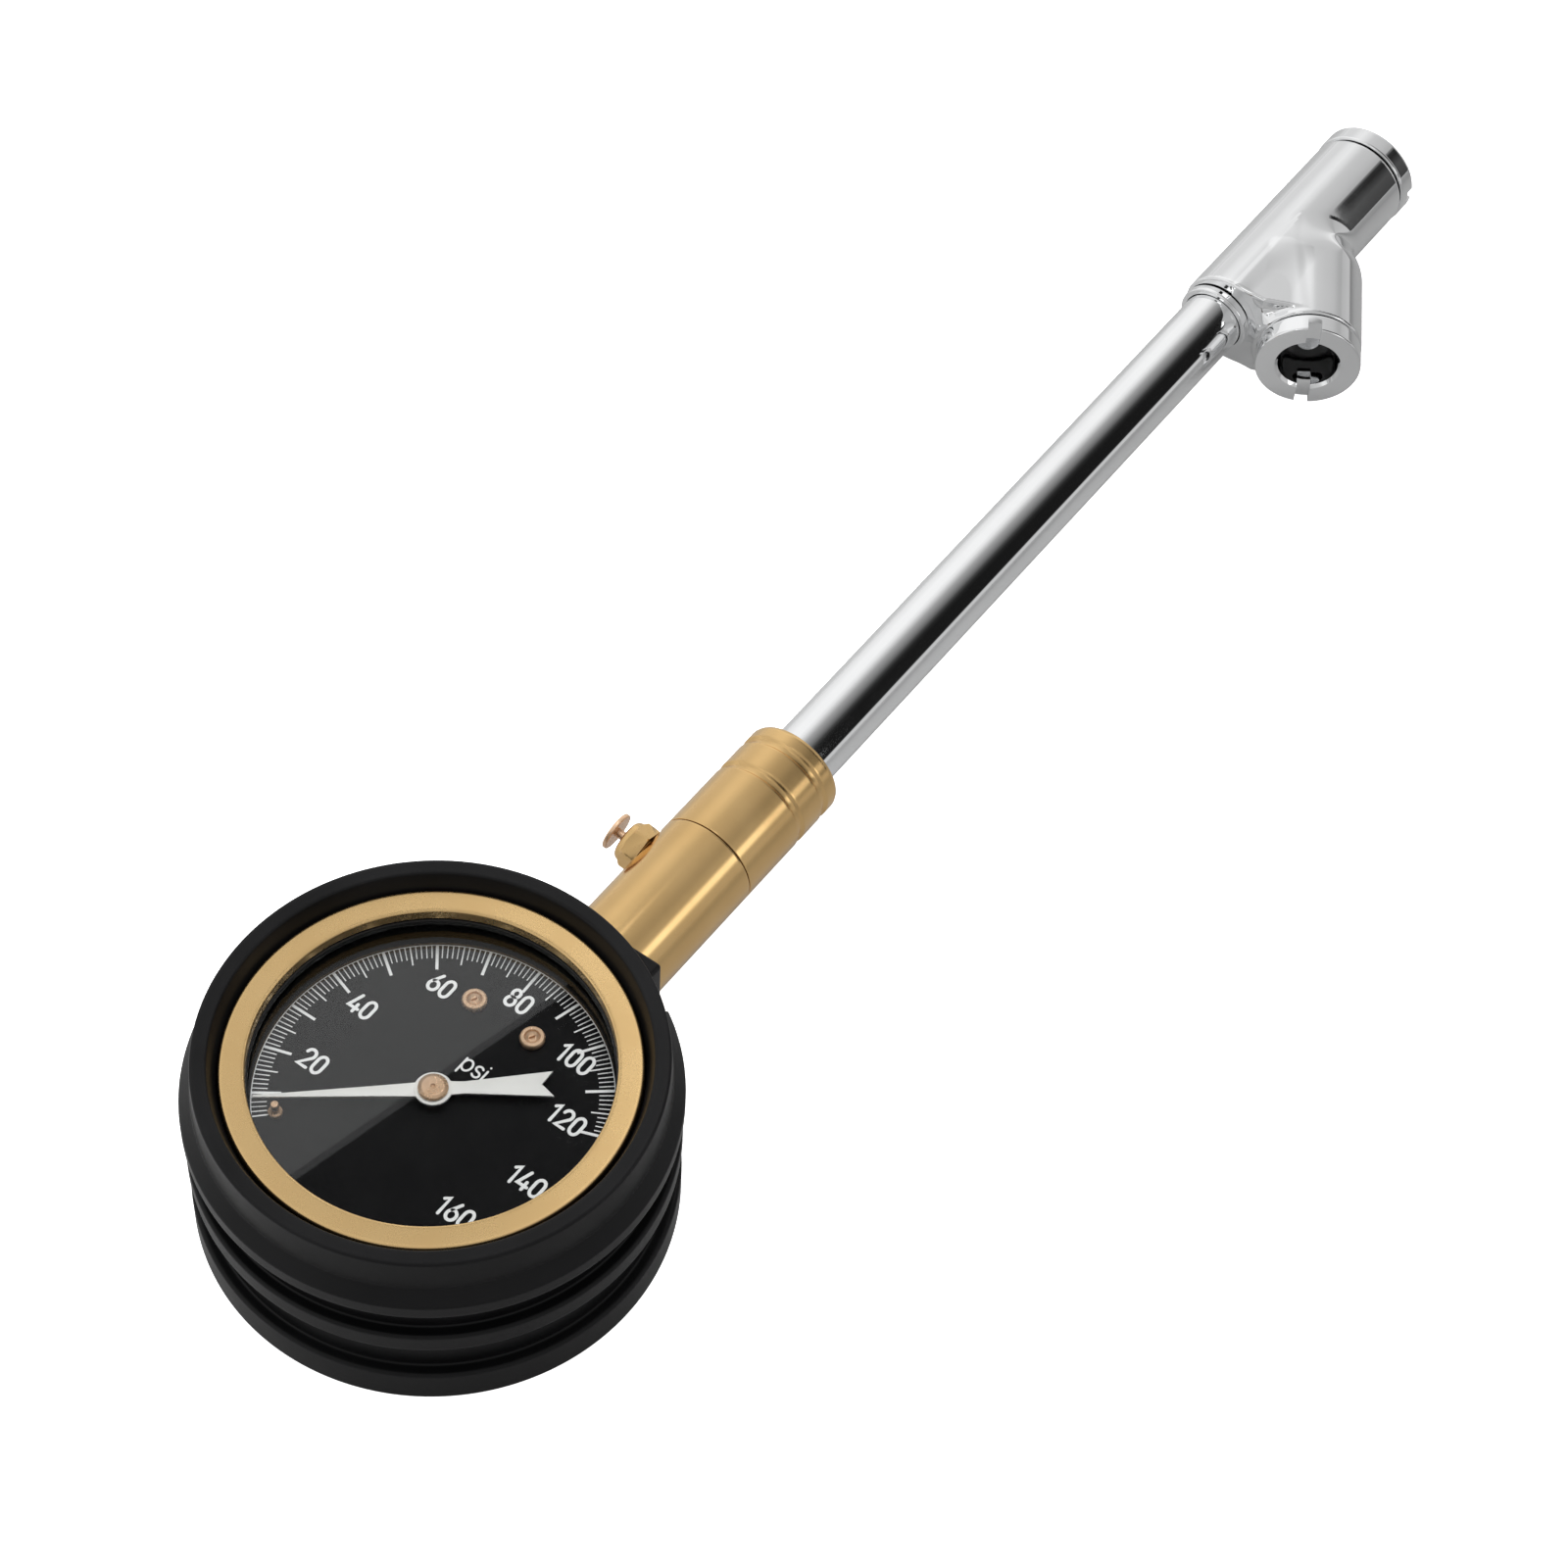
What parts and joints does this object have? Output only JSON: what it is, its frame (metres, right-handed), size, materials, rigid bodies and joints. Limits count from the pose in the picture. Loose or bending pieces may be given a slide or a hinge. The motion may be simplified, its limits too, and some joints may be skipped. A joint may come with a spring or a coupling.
{
  "type": "tyre pressure gauge",
  "caption": "Dial tyre pressure gauge in a ribbed rubber boot, with a brass stem and push-button bleeder, a swivel, a chromed tube and a chuck with a straight and an angled foot.",
  "frame": {"origin": "centre of the rubber boot's flat back, under the dial's axis", "axes": "+Z out of the dial, +Y along the stem and tube to the chuck, -X the bleeder's side, +X the angled foot's side"},
  "size_m": [0.0646, 0.2648, 0.0308],
  "materials": {
    "black_rubber": "moulded, semi-matt",
    "satin_brass": "turned, satin",
    "bright_brass": "lacquered, bright",
    "copper_brass": "reddish, satin",
    "chrome": "plated, bright",
    "steel": "turned",
    "clear_lens": "clear plastic, polished",
    "dial_black": "matt black with white printing",
    "pointer_white": "matt white"
  },
  "bodies": {
    "gauge": {"rubber_boot": "black_rubber", "gauge_case": "satin_brass", "bezel_ring": "bright_brass", "lens_gasket": "black_rubber", "lens": "clear_lens", "dial_plate": "dial_black", "dial_screw_left": "copper_brass", "dial_screw_right": "copper_brass", "stop_pin": "copper_brass", "hairspring": "copper_brass", "movement_back_plate": "satin_brass", "movement_front_plate": "satin_brass", "movement_pillar_1": "satin_brass", "movement_pillar_2": "satin_brass", "movement_screw_1": "steel", "movement_screw_2": "steel", "gauge_socket": "satin_brass", "case_screw_1": "steel", "case_screw_2": "steel", "stem_body": "satin_brass", "stem_gasket": "black_rubber", "check_valve_seat": "satin_brass", "check_valve_spring": "steel", "bleeder_ferrule": "satin_brass", "bleeder_seal": "black_rubber", "bleeder_spring": "steel", "swivel_seal": "black_rubber"},
    "sector": {"sector_gear": "satin_brass", "sector_arbor": "steel", "link_screw_sector": "steel"},
    "pointer_set": {"pointer": "pointer_white", "pointer_bushing": "steel", "pointer_cap": "copper_brass", "pinion_arbor": "steel"},
    "bourdon": {"bourdon_tube": "satin_brass", "bourdon_tip": "satin_brass", "link_screw_tip": "steel"},
    "link_bar": {"link": "satin_brass"},
    "poppet": {"check_valve_poppet": "black_rubber"},
    "bleeder": {"bleeder_button": "satin_brass"},
    "swivel": {"swivel_sleeve": "satin_brass", "swivel_clip": "steel", "chuck_tube": "chrome", "tube_collar": "chrome", "chuck_body": "chrome", "front_retainer_ring": "chrome", "front_seal": "black_rubber", "front_spring": "steel", "angled_retainer_ring": "chrome", "angled_seal": "black_rubber", "angled_spring": "steel"},
    "front_depressor": {"front_pin": "steel"},
    "angled_depressor": {"angled_pin": "steel"}
  },
  "joints": [
    {"name": "sector_turn", "type": "hinge", "parent": "gauge", "child": "sector", "pos_m": [-0.00629, -0.00777, 0.0098], "axis": [0, 0, 1], "range_deg": [0, 30]},
    {"name": "pointer_turn", "type": "hinge", "parent": "gauge", "child": "pointer_set", "pos_m": [0, 0, 0.0225], "axis": [0, 0, 1], "range_deg": [-270, 0], "stiffness_Nm_per_rad": 0.00001},
    {"name": "bourdon_flex", "type": "hinge", "parent": "gauge", "child": "bourdon", "pos_m": [0.00572, 0.01759, 0.0096], "axis": [0, 0, 1], "range_deg": [0, 3.81], "stiffness_Nm_per_rad": 0.05},
    {"name": "link_turn", "type": "hinge", "parent": "bourdon", "child": "link_bar", "pos_m": [-0.01425, -0.00635, 0.0101], "axis": [0, 0, 1], "range_deg": [-3.81, 0]},
    {"name": "check_valve_lift", "type": "slide", "parent": "gauge", "child": "poppet", "axis": [0, -1, 0], "range_m": [0, 0.0015], "stiffness_N_per_m": 60, "springref_m": -0.001},
    {"name": "bleeder_push", "type": "slide", "parent": "gauge", "child": "bleeder", "axis": [0.9848, 0, -0.1736], "range_m": [0, 0.001], "stiffness_N_per_m": 800, "springref_m": -0.001},
    {"name": "swivel_turn", "type": "hinge", "parent": "gauge", "child": "swivel", "pos_m": [0, 0.0587, 0.00825], "axis": [0, 1, 0], "continuous": true},
    {"name": "front_pin_push", "type": "slide", "parent": "swivel", "child": "front_depressor", "axis": [0, -1, 0], "range_m": [0, 0.0015], "stiffness_N_per_m": 1000, "springref_m": -0.001},
    {"name": "angled_pin_push", "type": "slide", "parent": "swivel", "child": "angled_depressor", "axis": [-0.515, 0.8572, 0], "range_m": [0, 0.0015], "stiffness_N_per_m": 1000, "springref_m": -0.001}
  ],
  "couplings": [
    {"joint": "pointer_turn", "follows": "sector_turn", "ratio": -9},
    {"joint": "bourdon_flex", "follows": "sector_turn", "ratio": 0.12685},
    {"joint": "link_turn", "follows": "sector_turn", "ratio": -0.12685}
  ]
}
